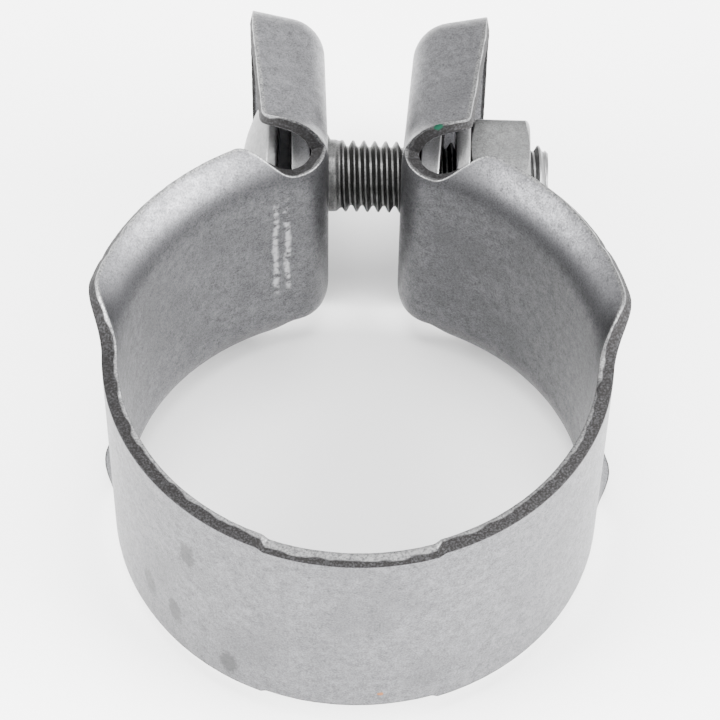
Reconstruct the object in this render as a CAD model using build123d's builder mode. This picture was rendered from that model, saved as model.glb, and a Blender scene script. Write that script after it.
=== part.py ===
"""Exhaust pipe clamp: one stamped steel strap with rolled lips and pressed ears, drawn up by one bolt.

The pipe axis is Z and the origin is its middle. The ears point to +Y and the bolt lies along X.
The strap is built from sections across its sheet, first for its right side and then for its left.
"""
from build123d import *
from math import atan2, cos, degrees, radians, sin, sqrt
import os

# Pipe and sheet
pipe_radius = 30.15
sheet = 2.0

# Plain band at the front, with a slightly narrower stretch between two steps of its cutting die
band_half_height = 16.8
die_step = 0.6
die_half_angle = 20.0

# Lips rolled outwards on both edges of the band
lip_flat_half = 12.6
lip_radius = 9.3
lip_angle = 55.0
lip_start_angle = -4.0
lip_full_angle = 14.0
lip_fade_angle = 60.0
first_curl = 0.5

# Fold from the band into an ear, where the edge is cut back so that the fold has no lip
fold_radius = 5.8
fold_edge_half = 15.4

# Split between the ears, measured where the folds end, and the angle that each ear leans out by
nose_gap_half = 4.85
ear_splay = 3.6

# Thick washer seated on each ear, its edge cut back where the ear rolls and folds
ear_washer_radius = 9.4
ear_washer_thickness = 3.0
seat_cut_radial = 1.45
seat_cut_axial = 0.45

# Ears: a flat plate that seats the washer, with its three free sides bent away from the split
ear_flat_half = 11.6
ear_past_hole = 11.6
ear_bend_radius = 5.5
ear_bend_angle = 77.0
ear_bend_full = 5.2
ear_flange_start = 4.6
ear_flange_end = 5.6
ear_corner_radius = 0.5
fold_margin = 0.06

# Carriage bolt, its domed head towards -X
bolt_radius = 5.0
bolt_length = 37.0
bolt_tip_chamfer = 1.0
head_radius = 11.6
head_rim = 1.3
head_dome = 3.9
head_slack = 1.64
neck_side = 10.0
neck_length = 7.0

# Nut and the washer that travels with it
nut_across_flats = 16.0
nut_height = 8.2
nut_corner_break = 0.9
nut_face_break = 0.5
nut_tilt = 36.0
nut_slack = 1.94
nut_washer_radius = 10.5
nut_washer_thickness = 1.9
rim_break = 0.3

# Clearances
hole_clearance = 0.5
neck_clearance = 0.2
thread_clearance = 0.05


def station(side, point, heading):
    """Plane across the sheet on one side: x points away from the pipe or gap and y points up."""
    away = Vector(side * sin(radians(heading)), -cos(radians(heading)), 0)
    return Plane(origin=(side * point.X, point.Y, 0), x_dir=away, z_dir=(away.Y, -away.X, 0))


def ring_station(side, angle):
    """Station on the pipe circle at this angle from the side's own X direction."""
    point = Vector(pipe_radius * cos(radians(angle)), pipe_radius * sin(radians(angle)), 0)
    return station(side, point, angle + 90)


def facing(heading):
    """Direction from the pipe's side of a strip to its other side, where it has turned through heading degrees."""
    return Vector(cos(radians(heading)), -sin(radians(heading)))


def strip_nodes(flat, stretches):
    """Points and headings on the pipe's side of an edge strip: its start, then two for each stretch.

    The strip starts at the height flat. A stretch is its length and the degrees that it turns through.
    """
    point = Vector(0, flat)
    heading = 0
    nodes = [(point, heading)]
    for length, turn in stretches:
        for step in range(2):
            if turn == 0:
                point = point + facing(heading - 90) * (length / 2)
            else:
                radius = length / radians(turn)
                point = point + facing(heading) * radius - facing(heading + turn / 2) * radius
            heading = heading + turn / 2
            nodes.append((point, heading))
    return nodes


def strip_points(flat, stretches, depth):
    """The strip's nodes at this depth through the sheet."""
    return [point + facing(heading) * depth for point, heading in strip_nodes(flat, stretches)]


def strip_lines(flat, stretches, depth):
    """One face of an edge strip, as a line for each straight stretch and an arc for each bent one."""
    points = strip_points(flat, stretches, depth)
    lines = []
    for number, (length, turn) in enumerate(stretches):
        start, middle, end = points[2 * number:2 * number + 3]
        lines.append(Line(start, end) if turn == 0 else ThreePointArc(start, middle, end))
    return lines


def end_cut(flat, stretches):
    """The cut face at a strip's free edge."""
    return Line(strip_points(flat, stretches, 0)[-1], strip_points(flat, stretches, sheet)[-1])


def band_section(place, flat, stretches):
    """Section of the whole sheet: a flat wall of half height flat with a strip on its two edges."""
    with BuildSketch(place) as section:
        with BuildLine():
            for depth in (0, sheet):
                Line((depth, -flat), (depth, flat))
                for line in strip_lines(flat, stretches, depth):
                    mirror(line, about=Plane.XZ)
            mirror(end_cut(flat, stretches), about=Plane.XZ)
        make_face()
    return section.sketch


def rim_section(place, stretches):
    """Section of the ear's bent rim alone."""
    with BuildSketch(place) as section:
        with BuildLine():
            Line((0, ear_flat_half), (sheet, ear_flat_half))
            for depth in (0, sheet):
                strip_lines(ear_flat_half, stretches, depth)
            end_cut(ear_flat_half, stretches)
        make_face()
    return section.sketch


def blend(low, high, share):
    """Value between low and high."""
    return low + (high - low) * share


# The fold rolls on the outside of the pipe circle and ends where the ear's flat plate starts
ear_heading = 90 - ear_splay
ear_along = Vector(cos(radians(ear_heading)), sin(radians(ear_heading)), 0)
ear_away = Vector(ear_along.Y, -ear_along.X, 0)
fold_centre_x = nose_gap_half + fold_radius * ear_away.X
fold_centre = Vector(fold_centre_x, sqrt((pipe_radius + fold_radius) ** 2 - fold_centre_x ** 2), 0)
fold_angle = degrees(atan2(fold_centre.Y, fold_centre.X))
ear_root = fold_centre - ear_away * fold_radius

# The bolt passes through the middle of the washer's seat, which starts just clear of the fold
hole_distance = ear_washer_radius - seat_cut_radial + fold_margin
ear_flat_end = hole_distance + ear_past_hole
ear_side_end = ear_flat_end - 2 * ear_corner_radius
hole_point = ear_root + ear_along * hole_distance
bolt_y = hole_point.Y

# Edge strips: lengths and the degrees that each stretch turns through
band_reach = band_half_height - lip_flat_half
lip_reach = lip_radius * radians(lip_angle)
fold_reach = fold_edge_half - lip_flat_half
fold_curl = degrees(fold_reach / lip_radius)
far_rim = ((ear_bend_radius * radians(ear_bend_angle), ear_bend_angle), (ear_flange_end, 0))
ear_reach_x = hole_point.X + ear_bend_radius + ear_flange_end
plate_corners = ((ear_side_end, ear_flat_half), (ear_flat_end, ear_flat_half),
                 (ear_flat_end, -ear_flat_half), (ear_side_end, -ear_flat_half))


def ear_station(side, distance):
    """Station on the ear, at this distance from the fold."""
    return station(side, ear_root + ear_along * distance, ear_heading)


def on_side(side, vector):
    """Vector drawn for the right, turned over to the left when side is negative."""
    return Vector(side * vector.X, vector.Y, vector.Z)


with BuildPart() as strap:
    for side in (1, -1):
        # Plain wall from the die step to the start of the lip
        wall_from = die_half_angle - 90 if side > 0 else lip_start_angle
        revolve(profiles=band_section(ring_station(side, wall_from), lip_flat_half, [(band_reach, 0)]),
                axis=Axis.Z, revolution_arc=90 - die_half_angle + lip_start_angle)
        # Start of the lips: the strip widens and rolls out
        lip_start = []
        for share in (0, 0.2, 0.4, 0.6, 0.8, 1):
            ease = share * share * (3 - 2 * share)
            place = ring_station(side, blend(lip_start_angle, lip_full_angle, share))
            reach = blend(band_reach, lip_reach, ease)
            lip_start.append(band_section(place, lip_flat_half, [(reach, max(lip_angle * ease, first_curl))]))
        loft(sections=lip_start)
        # Full lips
        lip_from = lip_full_angle if side > 0 else lip_fade_angle
        revolve(profiles=band_section(ring_station(side, lip_from), lip_flat_half, [(lip_reach, lip_angle)]),
                axis=Axis.Z, revolution_arc=lip_fade_angle - lip_full_angle)
        # Lips cut back towards the fold
        lip_end = []
        for share in (0, 0.5, 1):
            place = ring_station(side, blend(lip_fade_angle, fold_angle, share))
            reach = blend(lip_reach, fold_reach, share)
            lip_end.append(band_section(place, lip_flat_half, [(reach, degrees(reach / lip_radius))]))
        loft(sections=lip_end)
        # Fold
        fold_from = ear_station(side, 0) if side > 0 else ring_station(side, fold_angle)
        fold_axis = Axis(on_side(side, fold_centre), (0, 0, 1))
        revolve(profiles=band_section(fold_from, lip_flat_half, [(fold_reach, fold_curl)]),
                axis=fold_axis, revolution_arc=fold_angle + ear_splay)
        # Edges of the ear bending up out of the fold, each with a bend and then a flange
        ear_start = [band_section(ear_station(side, 0), lip_flat_half, [(fold_reach / 2, fold_curl / 2)] * 2)]
        for share, ease in ((0.3, 0.63), (1, 1)):
            radius = blend(lip_radius, ear_bend_radius, ease)
            angle = blend(fold_curl, ear_bend_angle, ease)
            stretches = [(radius * radians(angle), angle), (ear_flange_start * ease, 0)]
            flat = blend(lip_flat_half, ear_flat_half, ease)
            ear_start.append(band_section(ear_station(side, ear_bend_full * share), flat, stretches))
        loft(sections=ear_start)
        # Sides of the ear, whose flanges grow towards its end
        loft(sections=[ear_start[-1], band_section(ear_station(side, ear_side_end), ear_flat_half, far_rim)])
        # Bent rim carried round the end of the ear's flat plate
        ear_face = Plane(origin=on_side(side, ear_root), x_dir=on_side(side, ear_along),
                         z_dir=on_side(side, ear_away))
        with BuildLine(ear_face) as rim_path:
            FilletPolyline(*plate_corners, radius=ear_corner_radius)
        sweep(sections=rim_section(ear_station(side, ear_side_end), far_rim), path=rim_path.line)
        with BuildSketch(ear_face):
            with BuildLine():
                FilletPolyline(*plate_corners, radius=ear_corner_radius)
                Line(plate_corners[-1], plate_corners[0])
            make_face()
        extrude(amount=sheet)
    # Front stretch between the die steps, and the two bolt holes
    front_from = ring_station(1, -90 - die_half_angle)
    revolve(profiles=band_section(front_from, lip_flat_half, [(band_reach - die_step, 0)]),
            axis=Axis.Z, revolution_arc=2 * die_half_angle)
    with BuildSketch(Plane.YZ):
        with Locations((bolt_y, 0)):
            Circle(bolt_radius + hole_clearance)
    extrude(amount=ear_reach_x, mode=Mode.SUBTRACT)
    with BuildSketch(Plane.YZ):
        with Locations((bolt_y, 0)):
            Rectangle(neck_side + 2 * neck_clearance, neck_side + 2 * neck_clearance)
    extrude(amount=-ear_reach_x, mode=Mode.SUBTRACT)

# Where the parts stand along the bolt, measured from the middle of the gap
washer_centre = hole_point + ear_away * sheet
washer_top = washer_centre + ear_away * ear_washer_thickness
head_x = washer_top.X + head_slack
nut_washer_x = washer_top.X + nut_slack
nut_x = nut_washer_x + nut_washer_thickness
dome_radius = (head_radius ** 2 + head_dome ** 2) / (2 * head_dome)
bolt_axis = Axis((0, bolt_y, 0), (1, 0, 0))

ear_washers = {}
for side in (1, -1):
    with BuildPart() as ear_washer:
        with BuildSketch(Plane(origin=on_side(side, washer_centre), x_dir=(0, 0, 1),
                               z_dir=on_side(side, ear_away))):
            Circle(ear_washer_radius)
        extrude(amount=ear_washer_thickness)
        rims = ear_washer.edges().filter_by(GeomType.CIRCLE).sort_by(Axis.X, reverse=side < 0)
        chamfer(rims[0], length=seat_cut_axial, length2=seat_cut_radial)
        chamfer(rims[1], length=rim_break)
        with BuildSketch(Plane.YZ):
            with Locations((bolt_y, 0)):
                if side > 0:
                    Circle(bolt_radius + hole_clearance)
                else:
                    Rectangle(neck_side + 2 * neck_clearance, neck_side + 2 * neck_clearance)
        extrude(amount=side * head_x, mode=Mode.SUBTRACT)
    ear_washers[side] = ear_washer

with BuildPart() as bolt:
    with BuildSketch(Plane.XY):
        with BuildLine():
            Polyline((-head_x - head_rim, bolt_y + head_radius), (-head_x, bolt_y + head_radius),
                     (-head_x, bolt_y), (-head_x - head_rim - head_dome, bolt_y))
            RadiusArc((-head_x - head_rim - head_dome, bolt_y), (-head_x - head_rim, bolt_y + head_radius),
                      dome_radius)
        make_face()
    revolve(axis=bolt_axis)
    with BuildSketch(Plane.YZ.offset(-head_x)):
        with Locations((bolt_y, 0)):
            Rectangle(neck_side, neck_side)
    extrude(amount=neck_length)
    with BuildSketch(Plane.YZ.offset(-head_x)):
        with Locations((bolt_y, 0)):
            Circle(bolt_radius)
    extrude(amount=bolt_length)
    chamfer(bolt.faces().sort_by(Axis.X)[-1].edges(), length=bolt_tip_chamfer)

with BuildPart() as nut:
    with BuildSketch(Plane.YZ.offset(nut_x)):
        with Locations((bolt_y, 0)):
            RegularPolygon(radius=nut_across_flats / 2, side_count=6, major_radius=False, rotation=nut_tilt)
    extrude(amount=nut_height)
    corner_radius = nut_across_flats / 2 / cos(radians(30))
    with BuildSketch(Plane.XY):
        with BuildLine():
            Polyline((nut_x, bolt_y), (nut_x, bolt_y + corner_radius - nut_corner_break),
                     (nut_x + nut_face_break, bolt_y + corner_radius),
                     (nut_x + nut_height - nut_face_break, bolt_y + corner_radius),
                     (nut_x + nut_height, bolt_y + corner_radius - nut_corner_break),
                     (nut_x + nut_height, bolt_y), close=True)
        make_face()
    revolve(axis=bolt_axis, mode=Mode.INTERSECT)
    with BuildSketch(Plane.YZ.offset(nut_x)):
        with Locations((bolt_y, 0)):
            Circle(bolt_radius + thread_clearance)
    extrude(amount=nut_height, mode=Mode.SUBTRACT)

with BuildPart() as nut_washer:
    with BuildSketch(Plane.YZ.offset(nut_washer_x)):
        with Locations((bolt_y, 0)):
            Circle(nut_washer_radius)
    extrude(amount=nut_washer_thickness)
    chamfer(nut_washer.edges().filter_by(GeomType.CIRCLE), length=rim_break)
    with BuildSketch(Plane.YZ.offset(nut_washer_x)):
        with Locations((bolt_y, 0)):
            Circle(bolt_radius + hole_clearance)
    extrude(amount=nut_washer_thickness, mode=Mode.SUBTRACT)

os.makedirs("parts", exist_ok=True)
strap.part.label = "strap"
export_step(strap.part, "parts/strap.step")
ear_washers[-1].part.label = "head_side_washer"
export_step(ear_washers[-1].part, "parts/head_side_washer.step")
ear_washers[1].part.label = "nut_side_washer"
export_step(ear_washers[1].part, "parts/nut_side_washer.step")
bolt.part.label = "bolt"
export_step(bolt.part, "parts/bolt.step")
nut.part.label = "nut"
export_step(nut.part, "parts/nut.step")
nut_washer.part.label = "nut_washer"
export_step(nut_washer.part, "parts/nut_washer.step")
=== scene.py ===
"""Looks of an exhaust clamp: a stamped strap with rolled lips and pressed ears, its bolt, nut and washers.

The clamp lies on a pale floor with its pipe axis upright. Every surface is worked out from the same
sizes as the solids, as whole numpy grids, in millimetres, and goes into its mesh in metres.
"""

import logging
import math
from dataclasses import dataclass, field
from enum import Enum

import bmesh
import bpy
import numpy as np
from mathutils import Matrix, Vector


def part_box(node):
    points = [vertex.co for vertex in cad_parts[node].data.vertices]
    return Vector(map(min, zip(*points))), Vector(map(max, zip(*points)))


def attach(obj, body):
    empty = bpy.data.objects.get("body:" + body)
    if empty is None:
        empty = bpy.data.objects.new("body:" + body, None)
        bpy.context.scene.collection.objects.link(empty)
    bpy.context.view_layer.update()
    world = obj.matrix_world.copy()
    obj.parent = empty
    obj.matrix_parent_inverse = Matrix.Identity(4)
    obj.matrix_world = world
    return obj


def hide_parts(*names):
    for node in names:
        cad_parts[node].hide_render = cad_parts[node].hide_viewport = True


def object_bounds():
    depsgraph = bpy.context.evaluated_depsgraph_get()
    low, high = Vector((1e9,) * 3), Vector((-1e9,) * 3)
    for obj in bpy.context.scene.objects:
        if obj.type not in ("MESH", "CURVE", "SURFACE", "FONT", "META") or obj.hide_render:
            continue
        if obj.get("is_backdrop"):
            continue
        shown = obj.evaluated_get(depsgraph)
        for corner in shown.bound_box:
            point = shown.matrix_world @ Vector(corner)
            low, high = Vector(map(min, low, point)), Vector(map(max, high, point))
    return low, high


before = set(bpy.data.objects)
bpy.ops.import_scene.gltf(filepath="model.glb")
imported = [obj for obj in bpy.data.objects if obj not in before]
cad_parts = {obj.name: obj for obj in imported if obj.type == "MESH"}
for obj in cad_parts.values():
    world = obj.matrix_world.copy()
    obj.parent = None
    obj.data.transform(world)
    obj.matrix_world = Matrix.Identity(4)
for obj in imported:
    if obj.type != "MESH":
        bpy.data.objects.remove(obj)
CAD_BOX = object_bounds()

Array = np.ndarray
Pair = tuple[float, float]
Triple = tuple[float, float, float]

MM = 0.001
WELD = 1e-6
LOG = logging.getLogger("clamp")

# Ripple: how many sines, how much shorter and lower each is than the last, its phase, and their sum
RIPPLE_SINES = 4
RIPPLE_SHORTER = 1.93
RIPPLE_LOWER = 1.5
RIPPLE_PHASE = 2.399
RIPPLE_SUM = 2.41


class Mark(Enum):
    """Named values that the strap's points carry for its material."""

    ON_CUT = "on_cut"
    DEPTH = "depth"


def smoothstep(share: Array) -> Array:
    """Ease that starts and ends level: 3 t squared minus 2 t cubed.

    Args:
        share: t, held from 0 to 1.

    Returns:
        The eased share.
    """
    share = np.clip(share, 0, 1)
    return share * share * (3 - 2 * share)


def blend(low: float, high: float, share: Array) -> Array:
    """Value between two others.

    Args:
        low: value at share 0.
        high: value at share 1.
        share: how far from the first to the second.

    Returns:
        The value at each share.
    """
    return low + (high - low) * share


def ripple(place: Array, wave: float, seed: float) -> Array:
    """Uneven wave from -1 to 1: four sines whose lengths shrink by an odd ratio, each with its own phase.

    Args:
        place: where each value is wanted, in millimetres.
        wave: length of the longest sine, in millimetres.
        seed: number that shifts the phases.

    Returns:
        One value for each place.
    """
    total = np.zeros_like(place)
    for step in range(RIPPLE_SINES):
        length = wave / RIPPLE_SHORTER ** step
        phase = seed * (step + 1) * RIPPLE_PHASE
        total += np.sin(place * 2 * np.pi / length + phase) / RIPPLE_LOWER ** step
    return total / RIPPLE_SUM


def bump_at(place: Array, centre: float, width: float) -> Array:
    """Bell curve of height 1.

    Args:
        place: where each value is wanted.
        centre: where the curve is highest.
        width: distance at which it falls to 1 / e.

    Returns:
        One value for each place.
    """
    return np.exp(-((place - centre) / width) ** 2)


def rounded(corners: list[Pair], radii: list[float], step: float = 0.5, arc_steps: int = 4) -> Array:
    """Line through corners with each inner corner rounded, as points no further apart than a step.

    A corner of radius r between two stretches that meet at an angle is replaced by the arc that touches
    both of them, r over the tangent of half the angle from the corner.

    Args:
        corners: the line's corners.
        radii: one radius for each corner but the first and the last.
        step: longest distance between points on a straight stretch, in millimetres.
        arc_steps: number of steps on each arc.

    Returns:
        Array of points by two.
    """
    at = [np.array(corner, float) for corner in corners]
    anchors = [at[0]]
    for before, corner, after, radius in zip(at, at[1:], at[2:], radii):
        back = (before - corner) / np.linalg.norm(before - corner)
        ahead = (after - corner) / np.linalg.norm(after - corner)
        half = math.acos(float(np.clip(back @ ahead, -1, 1))) / 2
        centre = corner + (back + ahead) / np.linalg.norm(back + ahead) * radius / math.sin(half)
        first = corner + back * radius / math.tan(half) - centre
        last = corner + ahead * radius / math.tan(half) - centre
        sweep = math.pi - 2 * half
        for share in np.linspace(0, 1, arc_steps + 1):
            mix = (first * math.sin((1 - share) * sweep) + last * math.sin(share * sweep)) / math.sin(sweep)
            anchors.append(centre + mix)
    anchors.append(at[-1])
    points = [anchors[0]]
    for start, end in zip(anchors, anchors[1:]):
        count = max(1, math.ceil(float(np.linalg.norm(end - start)) / step))
        points += [start + (end - start) * number / count for number in range(1, count + 1)]
    return np.array(points)


class Surface:
    """Grids of points in millimetres that are welded into one closed, outward-facing mesh."""

    def __init__(self, name: str, marks: tuple[str, ...] = ()) -> None:
        """Starts an empty surface.

        Args:
            name: name of the piece.
            marks: names of the values that each point carries for the material.
        """
        self.name = name
        self.marks = marks
        self.points: list[Array] = []
        self.values: list[Array] = []
        self.faces: list[Array] = []
        self.count = 0

    def add_grid(self, points: Array, marks: tuple[Array, ...] = (), ring: bool = False) -> None:
        """Adds a grid of quads.

        Args:
            points: array of rows by columns by three.
            marks: one array of rows by columns for each named mark.
            ring: whether the last column joins the first.
        """
        rows, columns = points.shape[:2]
        index = np.arange(rows * columns).reshape(rows, columns) + self.count
        if ring:
            index = np.concatenate([index, index[:, :1]], axis=1)
        quads = np.stack([index[:-1, :-1], index[:-1, 1:], index[1:, 1:], index[1:, :-1]], axis=-1)
        self.points.append(points.reshape(-1, 3))
        self.faces.append(quads.reshape(-1, 4))
        values = [np.broadcast_to(mark, (rows, columns)).reshape(-1) for mark in marks]
        self.values.append(np.stack(values, axis=-1) if values else np.zeros((rows * columns, 0)))
        self.count += rows * columns

    def build(self, crease: float = 40.0) -> bpy.types.Object:
        """Makes the mesh, welds its seams, turns its faces outwards and shades it smoothly.

        Args:
            crease: angle in degrees from which an edge stays sharp.

        Returns:
            The piece's object.
        """
        mesh = bpy.data.meshes.new(self.name)
        points = np.concatenate(self.points) * MM
        mesh.from_pydata(points.tolist(), [], np.concatenate(self.faces).tolist())
        values = np.concatenate(self.values)
        for number, mark in enumerate(self.marks):
            layer = mesh.attributes.new(mark, "FLOAT", "POINT")
            layer.data.foreach_set("value", values[:, number].astype(np.float32))
        work = bmesh.new()
        work.from_mesh(mesh)
        bmesh.ops.remove_doubles(work, verts=work.verts, dist=WELD)
        bmesh.ops.dissolve_degenerate(work, edges=work.edges, dist=WELD)
        bmesh.ops.recalc_face_normals(work, faces=work.faces)
        open_edges = sum(1 for edge in work.edges if not edge.is_manifold)
        for edge in work.edges:
            edge.smooth = edge.calc_face_angle(0.0) < math.radians(crease)
        work.to_mesh(mesh)
        work.free()
        mesh.polygons.foreach_set("use_smooth", np.ones(len(mesh.polygons), bool))
        piece = bpy.data.objects.new(self.name, mesh)
        bpy.context.scene.collection.objects.link(piece)
        LOG.info("%s: %d faces, %d open edges", self.name, len(mesh.polygons), open_edges)
        return piece


@dataclass(frozen=True)
class BoltLine:
    """Places along the bolt's axis, which lies along X at this Y, in millimetres."""

    bolt_y: float = 42.7
    top_x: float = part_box("bolt")[0].x / MM
    end_x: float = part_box("bolt")[1].x / MM
    washer_x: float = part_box("nut_washer")[0].x / MM
    nut_x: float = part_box("nut")[0].x / MM

    def turned(self, along: Array, radius: Array, angle: Array) -> Array:
        """Points at these distances along and round the bolt's axis.

        Args:
            along: X of each point.
            radius: distance from the axis.
            angle: angle round the axis from +Y towards +Z.

        Returns:
            Array with a last axis of three.
        """
        along, radius, angle = np.broadcast_arrays(along, radius, angle)
        return np.stack([along, self.bolt_y + radius * np.cos(angle), radius * np.sin(angle)], axis=-1)


def around(count: int) -> Array:
    """Angles of a ring's columns.

    Args:
        count: number of columns.

    Returns:
        The angles as one row.
    """
    return np.linspace(0, 2 * np.pi, count, endpoint=False)[None, :]


def square_reach(half: float, corner: float, angle: Array) -> Array:
    """Distance from the middle of a square to its outline, with its corners cut round.

    Args:
        half: half of the square's side.
        corner: radius at which the corners are cut.
        angle: direction of each distance.

    Returns:
        One distance for each angle.
    """
    return np.minimum(half / np.maximum(np.abs(np.cos(angle)), np.abs(np.sin(angle))), corner)


@dataclass(frozen=True)
class Stations:
    """Places across the sheet along the right half of the strap, one row for each.

    At its origin the sheet faces away and its path runs along. The wall's half width is half. Each of
    its two edge strips has a reach, the radius and angle of its bend, and a turn of its direction from
    the width of the sheet to its length. The path is the length walked from the front.
    """

    origin: Array
    away: Array
    along: Array
    half: Array
    reach: Array
    radius: Array
    bend: Array
    turn: Array
    path: Array


@dataclass
class Strap:
    """Stamped strap: a band with rolled lips that folds into two pressed ears."""

    pipe_radius: float = 30.15
    sheet: float = 2.0
    band_half_height: float = 16.8
    die_step: float = 0.6
    die_half_angle: float = 20.0
    lip_flat_half: float = 12.6
    lip_radius: float = 9.3
    lip_angle: float = 55.0
    lip_start_angle: float = -4.0
    lip_full_angle: float = 14.0
    lip_fade_angle: float = 60.0
    fold_radius: float = 5.8
    fold_edge_half: float = 15.4
    nose_gap_half: float = 4.85
    ear_splay: float = 3.6
    ear_flat_half: float = 11.6
    ear_flat_end: float = 19.61
    ear_bend_radius: float = 5.5
    ear_bend_angle: float = 77.0
    ear_bend_full: float = 5.2
    ear_flange_start: float = 4.6
    ear_flange_end: float = 5.6
    ear_corner_radius: float = 0.5
    edge_round: float = 0.14
    hole_radius: float = 5.5
    neck_hole_half: float = 5.2
    neck_hole_corner: float = 6.9
    die_blend_angle: float = 1.0
    die_blend_step: float = 0.2
    ring_step: float = 1.0
    lip_blend_step: float = 0.75
    fold_rows: int = 17
    ear_start_rows: int = 14
    ear_start_power: float = 2.8
    ear_rows: int = 25
    corner_rows: int = 21
    strip_columns: int = 18
    wall_columns: int = 30
    straight: float = 1e-4
    ragged: tuple[Pair, ...] = ((0.022, 2.1), (0.04, 17.0))
    notches: tuple[Pair, ...] = ((-38.6, 0.25), (43.8, 0.2), (-58.0, 0.15), (61.5, 0.2))
    notch_width: float = 0.55
    line: BoltLine = field(default_factory=BoltLine)

    def frame_of_ear(self) -> tuple[Array, Array, Array, Array, float]:
        """Finds where the fold leaves the pipe circle and where the ear starts.

        The fold rolls on the outside of the pipe circle and ends on the split's side at the nose.

        Returns:
            The ear's root, its two directions along and away, the fold's centre and its angle in radians.
        """
        splay = math.radians(self.ear_splay)
        along = np.array([math.sin(splay), math.cos(splay), 0.0])
        away = np.array([math.cos(splay), -math.sin(splay), 0.0])
        centre_x = self.nose_gap_half + self.fold_radius * away[0]
        centre_y = math.sqrt((self.pipe_radius + self.fold_radius) ** 2 - centre_x ** 2)
        centre = np.array([centre_x, centre_y, 0.0])
        return centre - away * self.fold_radius, along, away, centre, math.atan2(centre[1], centre[0])

    def stations(self) -> Stations:
        """Works out the right half's stations, from the middle of the front to the ear's far corner.

        The path runs round the pipe circle, round the fold, up the ear and round its corner. Each lip or
        rim is a strip of a given reach rolled to a given radius. Round the corner the strip's direction
        turns from the width of the sheet to its length.

        Returns:
            The stations.
        """
        root, along, away, centre, fold_angle = self.frame_of_ear()
        heading = math.pi / 2 - math.radians(self.ear_splay)
        rows: list[dict[str, Array]] = []
        band_reach = self.band_half_height - self.lip_flat_half
        die_reach = band_reach - self.die_step
        lip_bend = math.radians(self.lip_angle)
        lip_reach = self.lip_radius * lip_bend
        fold_reach = self.fold_edge_half - self.lip_flat_half
        fold_bend = fold_reach / self.lip_radius
        ear_bend = math.radians(self.ear_bend_angle)

        def add(origin: Array, facing: Array, half: object, reach: object, radius: object,
                bend: object, turn: object = 0.0) -> None:
            """Adds one stretch of stations, each value given as one number or as one for each row."""
            row = {"half": half, "reach": reach, "radius": radius, "bend": bend, "turn": turn}
            rows.append({"origin": origin, "away": facing,
                         **{key: np.broadcast_to(value, len(origin)) for key, value in row.items()}})

        def ring(start: float, end: float, step: float, reach: Pair, bend: Pair) -> None:
            """Adds a stretch round the pipe circle, in degrees, with its strip's values at both ends."""
            angle = np.linspace(start, end, max(2, int(abs(end - start) / step)) + 1)[:-1]
            turn = np.radians(angle)
            facing = np.stack([np.cos(turn), np.sin(turn), np.zeros_like(turn)], axis=-1)
            ease = smoothstep((angle - start) / (end - start))
            full, curl = blend(*reach, ease), np.maximum(blend(*bend, ease), self.straight)
            add(facing * self.pipe_radius, facing, self.lip_flat_half, full, full / curl, curl)

        def plate(distance: Array, half: object, reach: object, radius: object, bend: object,
                  turn: object = 0.0) -> None:
            """Adds a stretch of the ear, whose rows lie at these distances from its root."""
            add(root + along * distance[:, None], np.tile(away, (len(distance), 1)), half, reach, radius,
                bend, turn)

        die_end = -90 + self.die_half_angle
        die_low, die_high = die_end - self.die_blend_angle, die_end + self.die_blend_angle
        ring(-90, die_low, self.ring_step, (die_reach, die_reach), (0, 0))
        ring(die_low, die_high, self.die_blend_step, (die_reach, band_reach), (0, 0))
        ring(die_high, self.lip_start_angle, self.ring_step, (band_reach, band_reach), (0, 0))
        ring(self.lip_start_angle, self.lip_full_angle, self.lip_blend_step, (band_reach, lip_reach),
             (0, lip_bend))
        ring(self.lip_full_angle, self.lip_fade_angle, self.ring_step, (lip_reach, lip_reach),
             (lip_bend, lip_bend))
        ring(self.lip_fade_angle, math.degrees(fold_angle), self.lip_blend_step, (lip_reach, fold_reach),
             (lip_bend, fold_bend))
        # The fold
        share = np.linspace(0, 1, self.fold_rows, endpoint=False)
        facing_angle = blend(fold_angle + math.pi / 2, heading, share)
        facing = np.stack([np.sin(facing_angle), -np.cos(facing_angle), 0 * share], axis=-1)
        add(centre - facing * self.fold_radius, facing, self.lip_flat_half, fold_reach, self.lip_radius,
            fold_bend)
        # The ear's edges grow out of the fold
        share = np.linspace(0, 1, self.ear_start_rows, endpoint=False)
        ease = 1 - (1 - share) ** self.ear_start_power
        radius = blend(self.lip_radius, self.ear_bend_radius, ease)
        bend = blend(fold_bend, ear_bend, ease)
        plate(share * self.ear_bend_full, blend(self.lip_flat_half, self.ear_flat_half, ease),
              radius * bend + self.ear_flange_start * ease, radius, bend)
        # The ear's full length
        corner = self.ear_flat_end - self.ear_corner_radius
        bend_reach = self.ear_bend_radius * ear_bend
        share = np.linspace(0, 1, self.ear_rows, endpoint=False)
        flange = blend(self.ear_flange_start, self.ear_flange_end, share)
        plate(blend(self.ear_bend_full, corner, share), self.ear_flat_half, bend_reach + flange,
              self.ear_bend_radius, ear_bend)
        # Its corner
        turn = np.linspace(0, math.pi / 2, self.corner_rows)
        plate(corner + self.ear_corner_radius * np.sin(turn),
              self.ear_flat_half - self.ear_corner_radius * (1 - np.cos(turn)),
              bend_reach + self.ear_flange_end, self.ear_bend_radius, ear_bend, turn)
        joined = {key: np.concatenate([row[key] for row in rows]) for key in rows[0]}
        facing = joined["away"]
        joined["along"] = np.stack([-facing[:, 1], facing[:, 0], 0 * facing[:, 0]], axis=-1)
        steps = np.linalg.norm(np.diff(joined["origin"], axis=0), axis=-1)
        walked = np.concatenate([[0.0], np.cumsum(steps)])
        joined["path"] = walked + self.ear_bend_radius * joined["turn"]
        return Stations(**joined)

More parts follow.
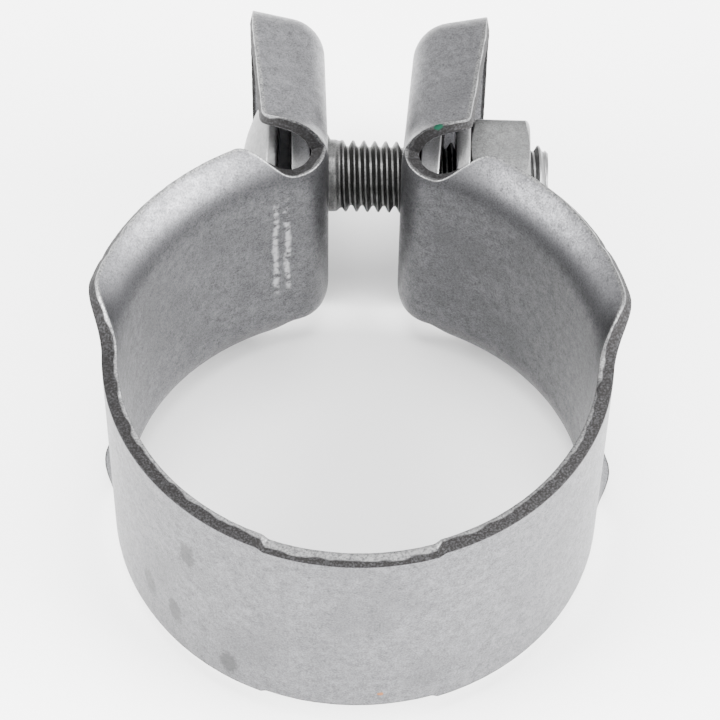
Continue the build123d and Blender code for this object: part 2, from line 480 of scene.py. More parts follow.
    def cut_profile(self) -> tuple[Array, Array]:
        """Outline of the sheared edge from its inner corner to its outer one.

        Returns:
            Depth through the sheet, and how far each point stands back from the cut's plane.
        """
        quarter = np.linspace(0, np.pi / 2, 4)
        inner_depth = self.edge_round * (1 - np.cos(quarter))
        inner_back = self.edge_round * (1 - np.sin(quarter))
        flat = np.linspace(0, 1, 7)[1:-1]
        flat_depth = blend(self.edge_round, self.sheet - self.edge_round, flat)
        depth = np.concatenate([inner_depth, flat_depth, self.sheet - inner_depth[::-1]])
        back = np.concatenate([inner_back, 0 * flat, inner_back[::-1]])
        return depth, back

    def unevenness(self, path: Array, seed: float) -> Array:
        """How far the sheared edge stands out: two ripples and a few notches.

        Args:
            path: places along the edge, in millimetres.
            seed: number that shifts the ripples.

        Returns:
            One distance for each place, in millimetres.
        """
        (fine, fine_wave), (broad, broad_wave) = self.ragged
        uneven = fine * ripple(path, fine_wave, seed) + broad * ripple(path, broad_wave, seed + 1)
        for place, depth in self.notches:
            uneven = uneven - depth * bump_at(path, place, self.notch_width)
        return uneven

    def rim(self, origin: Array, direction: Array, away: Array, reach: Array, radius: Array,
            bend: Array, uneven: Array) -> tuple[Array, ...]:
        """Points of an edge strip: its inner face out to the edge, the cut, and its outer face back.

        Over the bend, a point at length l and depth d stands (R - d) sin(l / R) along the strip's
        direction and R - (R - d) cos(l / R) away from the wall, where R is the bend's radius. Beyond
        the bend it goes on straight.

        Args:
            origin: where each strip leaves the wall.
            direction: which way it leaves the wall.
            away: which way it rolls.
            reach: its length.
            radius: the bend's radius on the inner face.
            bend: the angle of the bend.
            uneven: how far the cut stands out.

        Returns:
            The points, how much each lies on the cut, and its depth there from 0 to 1.
        """
        cut_depth, cut_back = self.cut_profile()
        share = np.linspace(0, 1, self.strip_columns)[:-1]
        end = (reach - self.edge_round)[:, None]
        face = share[None, :] * end
        cut = (reach + uneven)[:, None] - cut_back[None, :]
        length = np.concatenate([face, cut, face[:, ::-1]], axis=1)
        depth = np.concatenate([0 * share, cut_depth, 0 * share + self.sheet])
        on_cut = np.concatenate([0 * share, 1 + 0 * cut_depth, 0 * share])
        roll = np.minimum(length / radius[:, None], bend[:, None])
        beyond = np.maximum(length - (radius * bend)[:, None], 0)
        arm = radius[:, None] - depth[None, :]
        over = arm * np.sin(roll) + beyond * np.cos(roll)
        out = radius[:, None] - arm * np.cos(roll) + beyond * np.sin(roll)
        points = (origin[:, None, :] + direction[:, None, :] * over[..., None]
                  + away[:, None, :] * out[..., None])
        shape = length.shape
        return points, np.broadcast_to(on_cut, shape), np.broadcast_to(depth / self.sheet, shape)

    def add_half(self, surface: Surface, side: int) -> None:
        """Adds one half of the strap to the surface.

        Args:
            surface: where the grids go.
            side: 1 for the nut's side, -1 for the head's.
        """
        st = self.stations()
        flip = np.array([side, 1.0, 1.0])
        up = np.array([0.0, 0.0, 1.0])
        share = np.linspace(-1, 1, self.wall_columns)
        wall = st.origin[:, None, :] + up * (st.half[:, None] * share[None, :])[..., None]
        outer = wall + st.away[:, None, :] * self.sheet
        nothing = np.zeros(wall.shape[:2])
        surface.add_grid(wall * flip, (nothing, nothing))
        surface.add_grid(outer * flip, (nothing, nothing + 1))
        sine, cosine = np.sin(st.turn)[:, None], np.cos(st.turn)[:, None]
        for sign in (1, -1):
            direction = st.along * sine + up * cosine * sign
            start = st.origin + up * (st.half * sign)[:, None]
            points, on_cut, depth = self.rim(start, direction, st.away, st.reach, st.radius, st.bend,
                                             self.unevenness(side * st.path, 5.0 * sign))
            surface.add_grid(points * flip, (on_cut, depth))
        last = wall[-1]
        count = len(last)
        end = st.path[-1] + st.half[-1] - np.abs(last[:, 2])
        upper, lower = self.unevenness(side * end, 5.0), self.unevenness(side * end, -5.0)
        uneven = blend(lower, upper, smoothstep((share + 1) / 2))
        over, out = np.tile(st.along[-1], (count, 1)), np.tile(st.away[-1], (count, 1))
        reach, radius, bend = (np.full(count, value[-1]) for value in (st.reach, st.radius, st.bend))
        points, on_cut, depth = self.rim(last, over, out, reach, radius, bend, uneven)
        surface.add_grid(points * flip, (on_cut, depth))

    def build(self) -> bpy.types.Object:
        """Makes the strap and cuts its two bolt holes.

        Returns:
            The finished piece.
        """
        surface = Surface("strap_sheet", (Mark.ON_CUT.value, Mark.DEPTH.value))
        for side in (1, -1):
            self.add_half(surface, side)
        piece = surface.build()
        self.cut_holes(piece)
        return piece

    def cut_holes(self, piece: bpy.types.Object) -> None:
        """Cuts a round hole in the nut's ear and a square one in the head's ear.

        Args:
            piece: the strap without its holes.
        """
        far = self.nose_gap_half + self.ear_bend_radius
        angle = around(64)
        rows = np.array([[1.0, 0.0], [1.0, 1.0], [far, 1.0], [far, 0.0]])
        square = square_reach(self.neck_hole_half, self.neck_hole_corner, angle)
        tools = []
        for name, side, reach in (("round_cut", 1, self.hole_radius + 0 * angle),
                                  ("square_cut", -1, square)):
            cutter = Surface(name)
            cutter.add_grid(self.line.turned(side * rows[:, :1], rows[:, 1:] * reach, angle), ring=True)
            tools.append(cutter.build())
            cut = piece.modifiers.new(name, "BOOLEAN")
            cut.operation = "DIFFERENCE"
            cut.solver = "EXACT"
            cut.object = tools[-1]
        bpy.context.view_layer.update()
        cut_piece = piece.evaluated_get(bpy.context.evaluated_depsgraph_get())
        finished = bpy.data.meshes.new_from_object(cut_piece)
        piece.modifiers.clear()
        piece.data = finished
        finished.name = piece.name
        for tool in tools:
            bpy.data.objects.remove(tool)


@dataclass
class EarWasher:
    """Thick washer seated on an ear, with its edge cut back where the ear rolls."""

    strap: Strap
    side: int
    radius: float = 9.4
    thickness: float = 3.0
    seat_cut_radial: float = 1.45
    seat_cut_axial: float = 0.45
    hole_radius: float = 5.5
    neck_half: float = 5.2
    neck_corner: float = 6.9
    edge_round: float = 0.32

    def build(self, name: str) -> bpy.types.Object:
        """Makes the washer as a ring round a line square to its ear's face.

        Args:
            name: the piece's name.

        Returns:
            The finished piece.
        """
        root, along, away, _, _ = self.strap.frame_of_ear()
        hole = root + along * (self.strap.line.bolt_y - root[1]) / along[1]
        centre = hole + away * self.strap.sheet
        seat = self.radius - self.seat_cut_radial
        small = self.edge_round / 3
        profile = rounded([(self.thickness / 2, self.hole_radius), (0, self.hole_radius), (0, seat),
                           (self.seat_cut_axial, self.radius), (self.thickness, self.radius),
                           (self.thickness, self.hole_radius), (self.thickness / 2, self.hole_radius)],
                          [small, small, small, self.edge_round, small])
        angle = around(144)
        inner = self.hole_radius + 0 * angle
        if self.side < 0:
            inner = square_reach(self.neck_half, self.neck_corner, angle)
        share = (profile[:, 1:] - self.hole_radius) / (self.radius - self.hole_radius)
        reach = blend(inner, self.radius, share)
        up = np.array([0.0, 0.0, 1.0])
        points = (centre + away * profile[:, :1, None] + along * (reach * np.cos(angle))[..., None]
                  + up * (reach * np.sin(angle))[..., None])
        surface = Surface(name)
        surface.add_grid(points * np.array([self.side, 1.0, 1.0]), ring=True)
        return surface.build()


@dataclass
class NutWasher:
    """Loose washer against the nut: a flat ring with rounded rims, slightly uneven round its edge."""

    line: BoltLine
    radius: float = 10.5
    thickness: float = 1.9
    hole_radius: float = 5.5
    edge_round: float = 0.34
    uneven: float = 0.02

    def build(self) -> bpy.types.Object:
        """Makes the washer as a ring round the bolt's axis.

        Returns:
            The finished piece.
        """
        small = self.edge_round / 2
        profile = rounded([(self.thickness / 2, self.hole_radius), (0, self.hole_radius), (0, self.radius),
                           (self.thickness, self.radius), (self.thickness, self.hole_radius),
                           (self.thickness / 2, self.hole_radius)],
                          [small, self.edge_round, self.edge_round, small])
        angle = around(144)
        wave = 2 * np.pi * self.radius / 6
        ragged = self.uneven * ripple(self.radius * angle, wave, 1.0) * np.sin(angle / 2) ** 2
        rim = smoothstep(profile[:, 1:] - self.radius + 1)
        surface = Surface("nut_washer_ring")
        surface.add_grid(self.line.turned(self.line.washer_x + profile[:, :1],
                                          profile[:, 1:] + (ragged - self.uneven) * rim, angle), ring=True)
        return surface.build()


@dataclass(frozen=True)
class Thread:
    """Coarse metric thread: sixty-degree flanks with a rounded root and a narrow crest."""

    pitch: float = 1.5
    radius: float = 4.97
    depth: float = 0.86
    crest_x: float = 2.62
    crest_angle: float = math.radians(36)
    crest_share: float = 0.13
    root_share: float = 0.80
    flank_share: float = 0.75
    samples: int = 12
    columns: int = 96

    def drop(self, turns: Array) -> Array:
        """How far the surface lies under the crest.

        Args:
            turns: each place in turns from a crest.

        Returns:
            One depth for each place, in millimetres.
        """
        off = np.abs((turns + 0.5) % 1 - 0.5) * 2
        flank = np.clip((off - self.crest_share) / (self.root_share - self.crest_share), 0, 1)
        return self.depth * (self.flank_share * flank + (1 - self.flank_share) * smoothstep(flank))

    def helix(self, start: float, end: float) -> tuple[Array, Array, Array]:
        """Sheared grid of places between two ends, whose rows follow the thread.

        Row j stands at x = P (j / n + a / 2 pi), held between the ends, where a is the angle, n the
        samples in a pitch and P the pitch. The last column meets the first one a pitch further on.

        Args:
            start: X of the thread's start.
            end: X of its end.

        Returns:
            X, angle and turns from a crest, as arrays of rows by columns.
        """
        angle = np.linspace(0, 2 * np.pi, self.columns + 1)[None, :]
        first = math.floor((start - self.crest_x) / self.pitch * self.samples) - self.samples - 1
        last = math.ceil((end - self.crest_x) / self.pitch * self.samples) + self.samples + 1
        row = np.arange(first, last + 1)[:, None] / self.samples
        x = self.crest_x + self.pitch * (row + (angle - self.crest_angle) / (2 * np.pi))
        x = np.clip(x, start, end)
        turns = (x - self.crest_x) / self.pitch - (angle - self.crest_angle) / (2 * np.pi)
        return x, np.broadcast_to(angle, x.shape), turns


@dataclass
class Bolt:
    """Carriage bolt: a low dome on a thin rim, a square neck, and a thread up to a chamfered tip."""

    line: BoltLine
    head_radius: float = 11.6
    head_rim: float = 1.3
    head_dome: float = 3.9
    dome_share: float = 0.93
    rim_round: float = 0.45
    under_width: float = 3.0
    neck_half: float = 5.0
    neck_corner: float = 6.6
    neck_length: float = 7.0
    neck_taper: float = 0.9
    thread_start: float = -4.4
    run_out: float = 2.0
    wear: float = 0.03
    wear_wave: float = 3.7
    wear_sway: float = 0.9
    wear_start: float = 0.5
    tip_radius: float = 3.9
    tip_length: float = 1.15
    thread: Thread = field(default_factory=Thread)

    def build(self) -> bpy.types.Object:
        """Makes the bolt from its dome to its tip.

        Returns:
            The finished piece.
        """
        surface = Surface("bolt_body")
        angle = np.linspace(0, 2 * np.pi, self.thread.columns + 1)[None, :]
        under = self.line.top_x + self.head_dome + self.head_rim
        rim = under - self.head_rim
        sphere = (self.head_radius ** 2 + self.head_dome ** 2) / (2 * self.head_dome)
        tilt = np.linspace(0, math.asin(self.head_radius / sphere) * self.dome_share, 26)
        dome = np.stack([self.line.top_x + sphere * (1 - np.cos(tilt)), sphere * np.sin(tilt)], axis=-1)
        inner = self.head_radius - self.under_width
        edge = rounded([tuple(dome[-1]), (rim, self.head_radius), (under, self.head_radius),
                        (under, inner)], [self.rim_round, self.rim_round * 0.7])
        profile = np.concatenate([dome, edge[1:]])
        surface.add_grid(self.line.turned(profile[:, :1], profile[:, 1:], angle))
        neck = square_reach(self.neck_half, self.neck_corner, angle)
        neck_end = under + self.neck_length
        radius = self.thread.radius
        rows = [(under, inner + 0 * angle), (under, neck), (neck_end - self.neck_taper, neck),
                (neck_end, radius + 0 * angle), (self.thread_start, radius + 0 * angle)]
        along = np.array([[row[0]] for row in rows])
        surface.add_grid(self.line.turned(along, np.concatenate([row[1] for row in rows]), angle))
        x, turn, turns = self.thread.helix(self.thread_start, self.line.end_x)
        depth = self.thread.drop(turns) * smoothstep((x - self.thread_start) / self.run_out)
        wear = self.wear * (1 + ripple(x + self.wear_sway * np.sin(turn), self.wear_wave, 2.0))
        wear_and_highlight = wear * smoothstep((x - self.thread_start) / self.wear_start)
        cone = self.tip_radius + (self.line.end_x - x) * (radius - self.tip_radius) / self.tip_length
        surface.add_grid(self.line.turned(x, np.minimum(radius - depth - wear_and_highlight, cone), turn))
        cap = np.array([[self.line.end_x, self.tip_radius], [self.line.end_x, self.tip_radius * 0.5],
                        [self.line.end_x, 0.0]])
        surface.add_grid(self.line.turned(cap[:, :1], cap[:, 1:], angle))
        return surface.build()


@dataclass
class Nut:
    """Hexagon nut with chamfered faces and a threaded bore."""

    line: BoltLine
    across_flats: float = 16.0
    height: float = 8.2
    tilt: float = math.radians(36)
    corner_cut: float = 0.16
    face_radius: float = 7.75
    chamfer: float = math.radians(30)
    face_round: float = 0.12
    round_fade: float = 0.08
    bore_chamfer: float = 0.75
    bore_play: float = 0.12
    bore_step: float = 0.45
    mouth_step: float = 0.1
    corner_power: float = 60.0
    seat_gap: float = 0.006
    thread: Thread = field(default_factory=Thread)

    def outline(self, angle: Array) -> Array:
        """Distance from the axis to the hexagon's sides, with its corners eased.

        Args:
            angle: angle round the axis from +Y towards +Z.

        Returns:
            One distance for each angle, in millimetres.
        """
        off = (angle - self.tilt + math.pi / 6) % (math.pi / 3) - math.pi / 6
        side = self.across_flats / 2 / np.cos(off)
        corner = self.across_flats / 2 / math.cos(math.pi / 6) - self.corner_cut
        return (side ** -self.corner_power + corner ** -self.corner_power) ** (-1 / self.corner_power)

    def build(self) -> bpy.types.Object:
        """Makes the nut: its sides, its two faces, then its bore.

        Returns:
            The finished piece.
        """
        surface = Surface("nut_body")
        columns = self.thread.columns * 3
        angle = np.linspace(0, 2 * np.pi, columns + 1)[None, :]
        level = np.concatenate([np.linspace(0, 0.16, 4), np.linspace(0.2, 1.6, 22), [2.4, 3.2]])
        level = np.concatenate([level, self.height - level[::-1]])[:, None]
        near = np.minimum(level, self.height - level)
        eased = self.face_round * np.exp(-near / self.round_fade)
        cone = self.face_radius + near / math.tan(self.chamfer) - eased
        sides = np.minimum(self.outline(angle), cone)
        level[0] = self.seat_gap
        surface.add_grid(self.line.turned(self.line.nut_x + level, sides, angle))
        mouth = self.thread.radius + self.bore_play + self.mouth_step
        bore = self.thread.radius + self.bore_play - self.bore_step
        edge = self.face_radius - self.face_round
        reach = blend(mouth, edge, np.array([[1.0], [0.5], [0.0]])) + 0 * angle
        for face in (self.seat_gap, self.height):
            surface.add_grid(self.line.turned(self.line.nut_x + face, reach, angle))
        inner = np.array([[self.seat_gap, mouth], [self.bore_chamfer, bore], [self.height / 2, bore],
                          [self.height - self.bore_chamfer, bore], [self.height, mouth]])
        surface.add_grid(self.line.turned(self.line.nut_x + inner[:, :1], inner[:, 1:], angle))
        return surface.build(crease=28.0)


class Graph:
    """Short ways to add and join the nodes of one tree."""

    def __init__(self, tree: bpy.types.NodeTree) -> None:
        """Starts on a tree.

        Args:
            tree: the material's or group's node tree.
        """
        self.tree = tree

    def feed(self, node: bpy.types.Node, inputs: dict[str | int, object]) -> bpy.types.Node:
        """Joins or sets a node's inputs.

        Args:
            node: the node.
            inputs: for each input's name or number, the output or the value to give it.

        Returns:
            The node.
        """
        for key, value in inputs.items():
            if isinstance(value, bpy.types.NodeSocket):
                self.tree.links.new(value, node.inputs[key])
            else:
                node.inputs[key].default_value = value
        return node

    def node(self, kind: str, inputs: dict[str | int, object]) -> bpy.types.Node:
        """Adds a node of a type, feeds it and gives it."""
        return self.feed(self.tree.nodes.new(kind), inputs)

    def carried(self, mark: Mark) -> object:
        """Adds a value that the strap's points carry and gives its output."""
        made = self.tree.nodes.new("ShaderNodeAttribute")
        made.attribute_name = mark.value
        return made.outputs["Fac"]

    def math(self, operation: str, *values: object) -> object:
        """Adds a sum, product or other operation on numbers and gives its output."""
        made = self.node("ShaderNodeMath", dict(enumerate(values)))
        made.operation = operation
        return made.outputs[0]

    def product(self, *values: object) -> object:
        """Multiplies numbers and gives the output of the last product."""
        total = values[0]
        for value in values[1:]:
            total = self.math("MULTIPLY", total, value)
        return total

    def vector(self, operation: str, inputs: dict[str | int, object]) -> bpy.types.Node:
        """Adds an operation on vectors and gives its node."""
        made = self.tree.nodes.new("ShaderNodeVectorMath")
        made.operation = operation
        return self.feed(made, inputs)

    def noise(self, place: object, scale: float, detail: float, rough: float = 0.5) -> object:
        """Adds a noise texture read at a place and gives its value."""
        inputs = {"Vector": place, "Scale": scale, "Detail": detail, "Roughness": rough}
        return self.node("ShaderNodeTexNoise", inputs).outputs["Fac"]

    def span(self, value: object, low: float, high: float, start: float = 0.0, end: float = 1.0) -> object:
        """Maps a value from one span to another, held at its ends, and gives the result."""
        inputs = dict(enumerate((value, low, high, start, end)))
        return self.node("ShaderNodeMapRange", inputs).outputs[0]

    def mix(self, share: object, first: object, second: object) -> object:
        """Mixes two colours, given as outputs or as red, green and blue, and gives the result."""
        made = self.tree.nodes.new("ShaderNodeMix")
        made.data_type = "RGBA"
        first, second = ((*colour, 1) if isinstance(colour, tuple) else colour for colour in (first, second))
        return self.feed(made, {0: share, 6: first, 7: second}).outputs[2]


def mottle_group() -> bpy.types.NodeTree:
    """Makes the shared pattern of dull, handled metal.

    Returns:
        A group with the input Place, and the outputs Tone (0 dark to 1 light), Smudge (0 clean to
        1 smudged) and Height.
    """
    group = bpy.data.node_groups.new("mottled_metal", "ShaderNodeTree")
    group.interface.new_socket(name="Place", in_out="INPUT", socket_type="NodeSocketVector")
    for name in ("Tone", "Smudge", "Height"):
        group.interface.new_socket(name=name, in_out="OUTPUT", socket_type="NodeSocketFloat")
    graph = Graph(group)
    at = group.nodes.new("NodeGroupInput").outputs["Place"]
    leave = group.nodes.new("NodeGroupOutput")
    fine = graph.noise(at, 4200.0, 3.0, 0.65)
    middle = graph.noise(at, 900.0, 4.0, 0.65)
    broad = graph.noise(at, 110.0, 3.0, 0.55)
    tone = graph.math("MULTIPLY_ADD", fine, 0.6, graph.product(middle, 0.4))
    group.links.new(graph.span(tone, 0.36, 0.64), leave.inputs["Tone"])
    pits = graph.span(graph.noise(at, 1500.0, 2.0), 0.70, 0.76)
    smudge = graph.product(graph.span(broad, 0.5, 0.72), graph.span(middle, 0.35, 0.7))
    group.links.new(graph.math("MAXIMUM", smudge, pits), leave.inputs["Smudge"])
    group.links.new(graph.math("MULTIPLY_ADD", fine, 0.6, middle), leave.inputs["Height"])
    return group


@dataclass(frozen=True)
class Finish:
    """Dull metal of one piece: two tones that mottle into each other, darker smudges and a fine relief."""

    name: str
    dark: Triple
    light: Triple
    smudge: Triple
    rough_low: float
    rough_high: float
    smudge_share: float = 0.6
    relief: float = 0.00001

    def ground(self, graph: Graph) -> tuple[object, object, object, object]:
        """Adds the mottled ground.

        Args:
            graph: the material's nodes.

        Returns:
            The place, the colour, the roughness and the height.
        """
        place = graph.tree.nodes.new("ShaderNodeTexCoord").outputs["Object"]
        group = graph.tree.nodes.new("ShaderNodeGroup")
        group.node_tree = bpy.data.node_groups["mottled_metal"]
        graph.tree.links.new(place, group.inputs["Place"])
        tone, smudge, height = (group.outputs[name] for name in ("Tone", "Smudge", "Height"))
        colour = graph.mix(tone, self.dark, self.light)
        colour = graph.mix(graph.product(smudge, self.smudge_share), colour, self.smudge)
        rough = graph.span(tone, 0.0, 1.0, self.rough_high, self.rough_low)
        return place, colour, rough, height

    def material(self) -> bpy.types.Material:
        """Makes the material from its ground.

        Returns:
            The material.
        """
        made = bpy.data.materials.new(self.name)
        made.use_nodes = True
        graph = Graph(made.node_tree)
        _, colour, rough, height = self.ground(graph)
        surface = made.node_tree.nodes["Principled BSDF"]
        surface.inputs["Metallic"].default_value = 1.0
        graph.tree.links.new(colour, surface.inputs["Base Color"])
        graph.tree.links.new(rough, surface.inputs["Roughness"])
        bump = graph.node("ShaderNodeBump", {"Height": height, "Distance": self.relief, "Strength": 0.5})
        graph.tree.links.new(bump.outputs[0], surface.inputs["Normal"])
        return made


@dataclass(frozen=True)
class BoltFinish(Finish):
    """Plated bolt, painted darker between the ears as the shade inside them, and paler on its head and its
    tip; places are in metres.
    """

    pale_dark: Triple = (0.085, 0.085, 0.085)
    pale_light: Triple = (0.19, 0.19, 0.192)
    # Painted shade: the bolt keeps its darker tones between the ears, where its shank sits in shade.
    shaded_middle: float = 0.0025
    shaded_half: float = 0.0115
    shaded_fade: float = 0.001

    def ground(self, graph: Graph) -> tuple[object, object, object, object]:
        """Adds the mottled ground, with the paler ends mixed in by the distance along the bolt; the darker
        middle is painted shade.
        """
        place, colour, rough, height = super().ground(graph)
        along = graph.node("ShaderNodeSeparateXYZ", {"Vector": place}).outputs["X"]
        off = graph.math("ABSOLUTE", graph.math("SUBTRACT", along, self.shaded_middle))
        share = graph.span(off, self.shaded_half, self.shaded_half + self.shaded_fade)
        pale = graph.mix(graph.noise(place, 1400.0, 3.0), self.pale_dark, self.pale_light)
        return place, graph.mix(share, colour, pale), rough, height


@dataclass(frozen=True)
class StrapFinish(Finish):
    """Mill-finish sheet with sheared edges, the marks of use, painted shade and painted highlight streaks;
    places and sizes are in metres.

    A sheared edge is burnished over part of its depth and broken over the rest. The burnished part is
    wider on the front's middle, up to middle_half from it.
    """

    burnished: Triple = (0.22, 0.22, 0.22)
    broken: Triple = (0.024, 0.023, 0.023)
    burnished_share: float = 0.62
    worn_share: float = 0.22
    middle_half: float = 0.0103
    middle_fade: float = 0.0006
    broken_rough: float = 0.3
    paint: Triple = (0.015, 0.08, 0.05)
    paint_at: Triple = (0.0096, 0.0356, 0.0188)
    paint_size: float = 0.0007
    rust: Triple = (0.20, 0.08, 0.03)
    rust_at: Triple = (0.0040, -0.0319, -0.0135)
    rust_size: float = 0.0005
    smudges_at: tuple[Triple, ...] = (
        (-0.0203, -0.0249, 0.0067), (-0.0260, -0.0190, -0.0085), (-0.0225, -0.0230, -0.0092),
        (-0.0155, -0.0282, -0.0128))
    smudge_size: float = 0.0016
    smudge_slant: float = 0.5
    smudge_cover: float = 0.85
    # Painted highlight: pale colour of the streaks along the band's bend into its left fold.
    wear_and_highlight: Triple = (0.42, 0.42, 0.43)
    streaks_at: tuple[float, ...] = (-0.0117, -0.0102)
    streak_half: float = 0.00032
    streak_sway: float = 0.0012
    streak_from: Pair = (0.020, 0.024)
    streak_to: Pair = (0.031, 0.030)
    streak_middle: float = 0.002
    streak_height: Pair = (0.0105, 0.008)
    # Painted shade: the inner face darkens towards +X between side_from and side_to, and the outer face
    # darkens towards -X over front_half, where light from the right falls.
    shaded_side: float = 0.5
    side_from: float = -0.012
    side_to: float = 0.026
    shaded_front: float = 0.72
    front_half: float = 0.028

    def spot(self, graph: Graph, place: object, centre: Triple, size: float, squeeze: float = 1.0) -> object:
        """Adds a ragged spot round a point.

        Args:
            graph: the material's nodes.
            place: where the surface is.
            centre: the spot's middle.
            size: its radius.
            squeeze: how much of its height counts, so that a value below 1 makes it taller than wide.

        Returns:
            The spot's share, from 0 to 1.
        """
        off = graph.vector("SUBTRACT", {0: place, 1: centre}).outputs[0]
        even = graph.vector("MULTIPLY", {0: off, 1: (1.0, 1.0, squeeze)}).outputs[0]
        length = graph.vector("LENGTH", {0: even}).outputs["Value"]
        reach = graph.math("MULTIPLY_ADD", graph.noise(place, 1500.0, 3.0), size, length)
        return graph.span(reach, size * 1.4, size * 1.1)

    def streaks(self, graph: Graph, place: object, axes: object, inside: object) -> object:
        """Adds the painted highlight streaks along the bend where the band meets its left fold, broken into
        patches by noise.

        Args:
            graph: the material's nodes.
            place: where the surface is.
            axes: its X, Y and Z.
            inside: share of the sheet's inner face.

        Returns:
            The streaks' share, from 0 to 1.
        """
        total = 0.0
        for number, at in enumerate(self.streaks_at):
            wander = graph.noise(place, 420.0 + 60.0 * number, 2.0)
            wander = graph.math("MULTIPLY_ADD", wander, self.streak_sway, -self.streak_sway / 2 - at)
            off = graph.math("ABSOLUTE", graph.math("ADD", axes["X"], wander))
            line = graph.span(off, self.streak_half * 1.5, self.streak_half * 0.5)
            wear_and_highlight = graph.span(graph.noise(place, 900.0, 3.0), 0.40, 0.55)
            total = graph.math("MAXIMUM", graph.product(line, wear_and_highlight), total)
        height = graph.math("ABSOLUTE", graph.math("ADD", axes["Z"], -self.streak_middle))
        return graph.product(total, graph.span(axes["Y"], *self.streak_from),
                             graph.span(axes["Y"], *self.streak_to), inside,
                             graph.span(height, *self.streak_height))

    def cut(self, graph: Graph, place: object, axes: object, depth: object) -> tuple[object, object]:
        """Adds the sheared edge's colour.

        Args:
            graph: the material's nodes.
            place: where the surface is.
            axes: its X, Y and Z.
            depth: depth through the sheet, from 0 to 1.

        Returns:
            The colour and the share of the broken part.
        """
        streak = graph.noise(place, 3800.0, 2.0)
        patch = graph.noise(place, 330.0, 2.0)
        off_middle = graph.math("MAXIMUM", graph.math("ABSOLUTE", axes["X"]), axes["Y"])
        share = graph.span(off_middle, self.middle_half, self.middle_half + self.middle_fade,
                           self.burnished_share, self.worn_share)
        border = graph.math("MULTIPLY_ADD", patch, 0.7, graph.math("SUBTRACT", share, 0.35))
        broken = graph.span(graph.math("SUBTRACT", depth, border), -0.05, 0.06)
        shine = graph.mix(graph.span(streak, 0.35, 0.7), self.burnished, self.dark)
        rough_cut = graph.mix(graph.span(streak, 0.45, 0.75), self.broken, self.dark)
        return graph.mix(broken, shine, rough_cut), broken

    def ground(self, graph: Graph) -> tuple[object, object, object, object]:
        """Adds the mottled ground, then the cut edge, the painted shade across the sheet, the painted
        highlight streaks and each mark of use.
        """
        place, colour, rough, height = super().ground(graph)
        depth = graph.carried(Mark.DEPTH)
        axes = graph.node("ShaderNodeSeparateXYZ", {"Vector": place}).outputs
        cut, broken = self.cut(graph, place, axes, depth)
        share = graph.span(graph.carried(Mark.ON_CUT), 0.4, 0.6)
        colour = graph.mix(share, colour, cut)
        rough = graph.math("MULTIPLY_ADD", graph.product(share, broken), self.broken_rough, rough)
        inside = graph.span(depth, 0.3, 0.1)
        # Painted shade: inner face darker towards +X, outer face darker towards -X, scaled into the colour.
        painted_shade = graph.span(axes["X"], self.side_from, self.side_to, 1.0, self.shaded_side)
        front = graph.span(axes["X"], -self.front_half, self.front_half, self.shaded_front, 1.0)
        painted_shade = graph.math("MULTIPLY_ADD", graph.math("SUBTRACT", painted_shade, front), inside, front)
        colour = graph.vector("SCALE", {0: colour, "Scale": painted_shade}).outputs[0]
        # Painted highlight streaks along the bend into the left fold.
        colour = graph.mix(self.streaks(graph, place, axes, inside), colour, self.wear_and_highlight)
        for centre in self.smudges_at:
            dirt = self.spot(graph, place, centre, self.smudge_size, self.smudge_slant)
            colour = graph.mix(graph.product(dirt, self.smudge_cover), colour, self.smudge)
        colour = graph.mix(self.spot(graph, place, self.paint_at, self.paint_size), colour, self.paint)
        colour = graph.mix(self.spot(graph, place, self.rust_at, self.rust_size), colour, self.rust)
        return place, colour, rough, height


def dress(piece: bpy.types.Object, material: bpy.types.Material, body: str, node: str) -> None:
    """Gives a piece its material, its body and its place in the frame.

    Args:
        piece: the finished object.
        material: its material.
        body: the body that carries it.
        node: the node that it stands for, whose part is hidden.
    """
    piece.data.materials.clear()
    piece.data.materials.append(material)
    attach(piece, body)
    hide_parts(node)


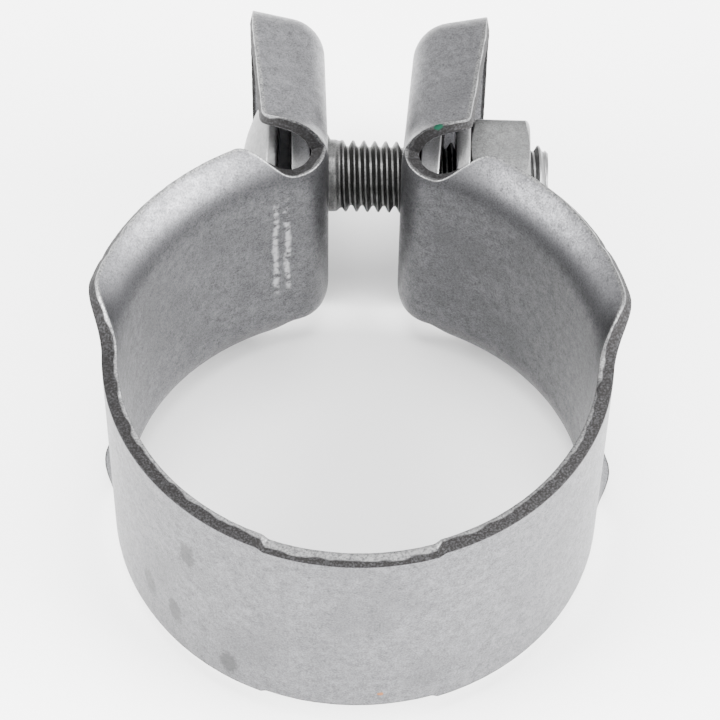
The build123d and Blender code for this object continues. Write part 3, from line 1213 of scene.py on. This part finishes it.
@dataclass(frozen=True)
class Studio:
    """Pale floor, soft light and the camera at the photo's viewing angle."""

    distance: float = 395.3
    lens_pixels: float = 3046.0
    image: float = 720.0
    sensor: float = 36.0
    elevation: float = math.radians(53.04)
    yaw: float = math.radians(0.78)
    roll: float = math.radians(1.0)
    centre: Pair = (356.9, 427.1)
    floor_z: float = -20.3
    floor_half: float = 900.0
    floor_colour: tuple[float, float, float, float] = (0.92, 0.92, 0.92, 1)
    floor_rough: float = 0.9
    floor_specular: float = 0.1
    world_strength: float = 3.2
    lamps: tuple[tuple[str, Triple, float, float], ...] = (
        ("overhead", (-20, 60, 560), 300, 4.0), ("right", (440, -120, 230), 360, 12.0),
        ("left", (-440, -120, 230), 330, 11.0))

    def floor(self) -> None:
        """Lays the pale floor under the clamp."""
        surface = Surface("floor")
        corner = np.array([-self.floor_half, self.floor_half])
        x, y = np.meshgrid(corner, corner)
        surface.add_grid(np.stack([x, y, 0 * x + self.floor_z], axis=-1))
        piece = surface.build()
        if piece.data.polygons[0].normal.z < 0:
            piece.data.flip_normals()
        made = bpy.data.materials.new("pale_floor")
        made.use_nodes = True
        principled = made.node_tree.nodes["Principled BSDF"]
        principled.inputs["Base Color"].default_value = self.floor_colour
        principled.inputs["Roughness"].default_value = self.floor_rough
        principled.inputs["Specular IOR Level"].default_value = self.floor_specular
        piece.data.materials.append(made)
        piece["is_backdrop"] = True

    def lamp(self, name: str, place: Triple, size: float, power: float) -> None:
        """Hangs a square soft light that faces the clamp.

        Args:
            name: its name.
            place: where it hangs, in millimetres.
            size: its side, in millimetres.
            power: its power in watts.
        """
        light = bpy.data.lights.new(name, "AREA")
        light.size = size * MM
        light.energy = power
        lamp = bpy.data.objects.new(name, light)
        lamp.location = Vector(place) * MM
        lamp.rotation_euler = (-lamp.location).to_track_quat("-Z", "Y").to_euler()
        bpy.context.scene.collection.objects.link(lamp)

    def light(self) -> None:
        """Sets the pale surroundings and the soft lights."""
        world = bpy.data.worlds.new("studio")
        world.use_nodes = True
        background = world.node_tree.nodes["Background"]
        background.inputs["Color"].default_value = (1, 1, 1, 1)
        background.inputs["Strength"].default_value = self.world_strength
        bpy.context.scene.world = world
        for name, place, size, power in self.lamps:
            self.lamp(name, place, size, power)

    def camera(self) -> None:
        """Places the camera from the photo's viewing angle and the clamp's place in it.

        It looks along the line from the clamp's origin, then moves sideways until the origin lies at
        the image's centre field.
        """
        yaw, rise, roll = self.yaw, self.elevation, self.roll
        back = Vector((math.sin(yaw) * math.cos(rise), -math.cos(yaw) * math.cos(rise), math.sin(rise)))
        right = Vector((math.cos(yaw), math.sin(yaw), 0))
        up = back.cross(right)
        level = math.cos(roll) * right + math.sin(roll) * up
        upright = -math.sin(roll) * right + math.cos(roll) * up
        off_x = (self.centre[0] - self.image / 2) / self.lens_pixels * self.distance
        off_y = -(self.centre[1] - self.image / 2) / self.lens_pixels * self.distance
        lens = bpy.data.cameras.new("camera")
        lens.sensor_width = self.sensor
        lens.lens = self.lens_pixels / self.image * self.sensor
        lens.clip_start = 0.01
        camera = bpy.data.objects.new("camera", lens)
        turn = Matrix((level, upright, back)).transposed().to_4x4()
        place = (back * self.distance - level * off_x - upright * off_y) * MM
        camera.matrix_world = Matrix.Translation(place) @ turn
        bpy.context.scene.collection.objects.link(camera)
        bpy.context.scene.camera = camera


def main() -> None:
    """Builds the clamp's pieces in order, dresses them, and sets the floor, lights and camera."""
    mottle_group()
    strap_metal = StrapFinish("strap_steel", dark=(0.065, 0.065, 0.068), light=(0.178, 0.178, 0.187),
                              smudge=(0.03, 0.03, 0.031), rough_low=0.35, rough_high=0.50).material()
    zinc = Finish("washer_zinc", dark=(0.15, 0.15, 0.15), light=(0.24, 0.24, 0.242),
                  smudge=(0.1, 0.1, 0.1), rough_low=0.32, rough_high=0.45).material()
    dark = BoltFinish("bolt_steel", dark=(0.05, 0.05, 0.05), light=(0.13, 0.13, 0.128),
                  smudge=(0.03, 0.03, 0.03), rough_low=0.34, rough_high=0.5).material()
    nut_metal = Finish("nut_steel", dark=(0.07, 0.07, 0.07), light=(0.15, 0.152, 0.152),
                       smudge=(0.04, 0.04, 0.04), rough_low=0.34, rough_high=0.52).material()
    line = BoltLine()
    strap = Strap(line=line)
    dress(strap.build(), strap_metal, "strap", "strap")
    for side, node in ((-1, "head_side_washer"), (1, "nut_side_washer")):
        dress(EarWasher(strap, side).build(node + "_ring"), zinc, "strap", node)
    dress(Bolt(line).build(), dark, "bolt", "bolt")
    dress(NutWasher(line).build(), zinc, "nut_washer", "nut_washer")
    dress(Nut(line).build(), nut_metal, "nut", "nut")
    studio = Studio()
    studio.floor()
    studio.light()
    studio.camera()
    boxes = {"cad": CAD_BOX, "visual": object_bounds()}
    {name: [list(corner) for corner in box] for name, box in boxes.items()}


if __name__ == "__main__":
    logging.basicConfig(level=logging.INFO, format="%(name)s %(message)s")
    main()
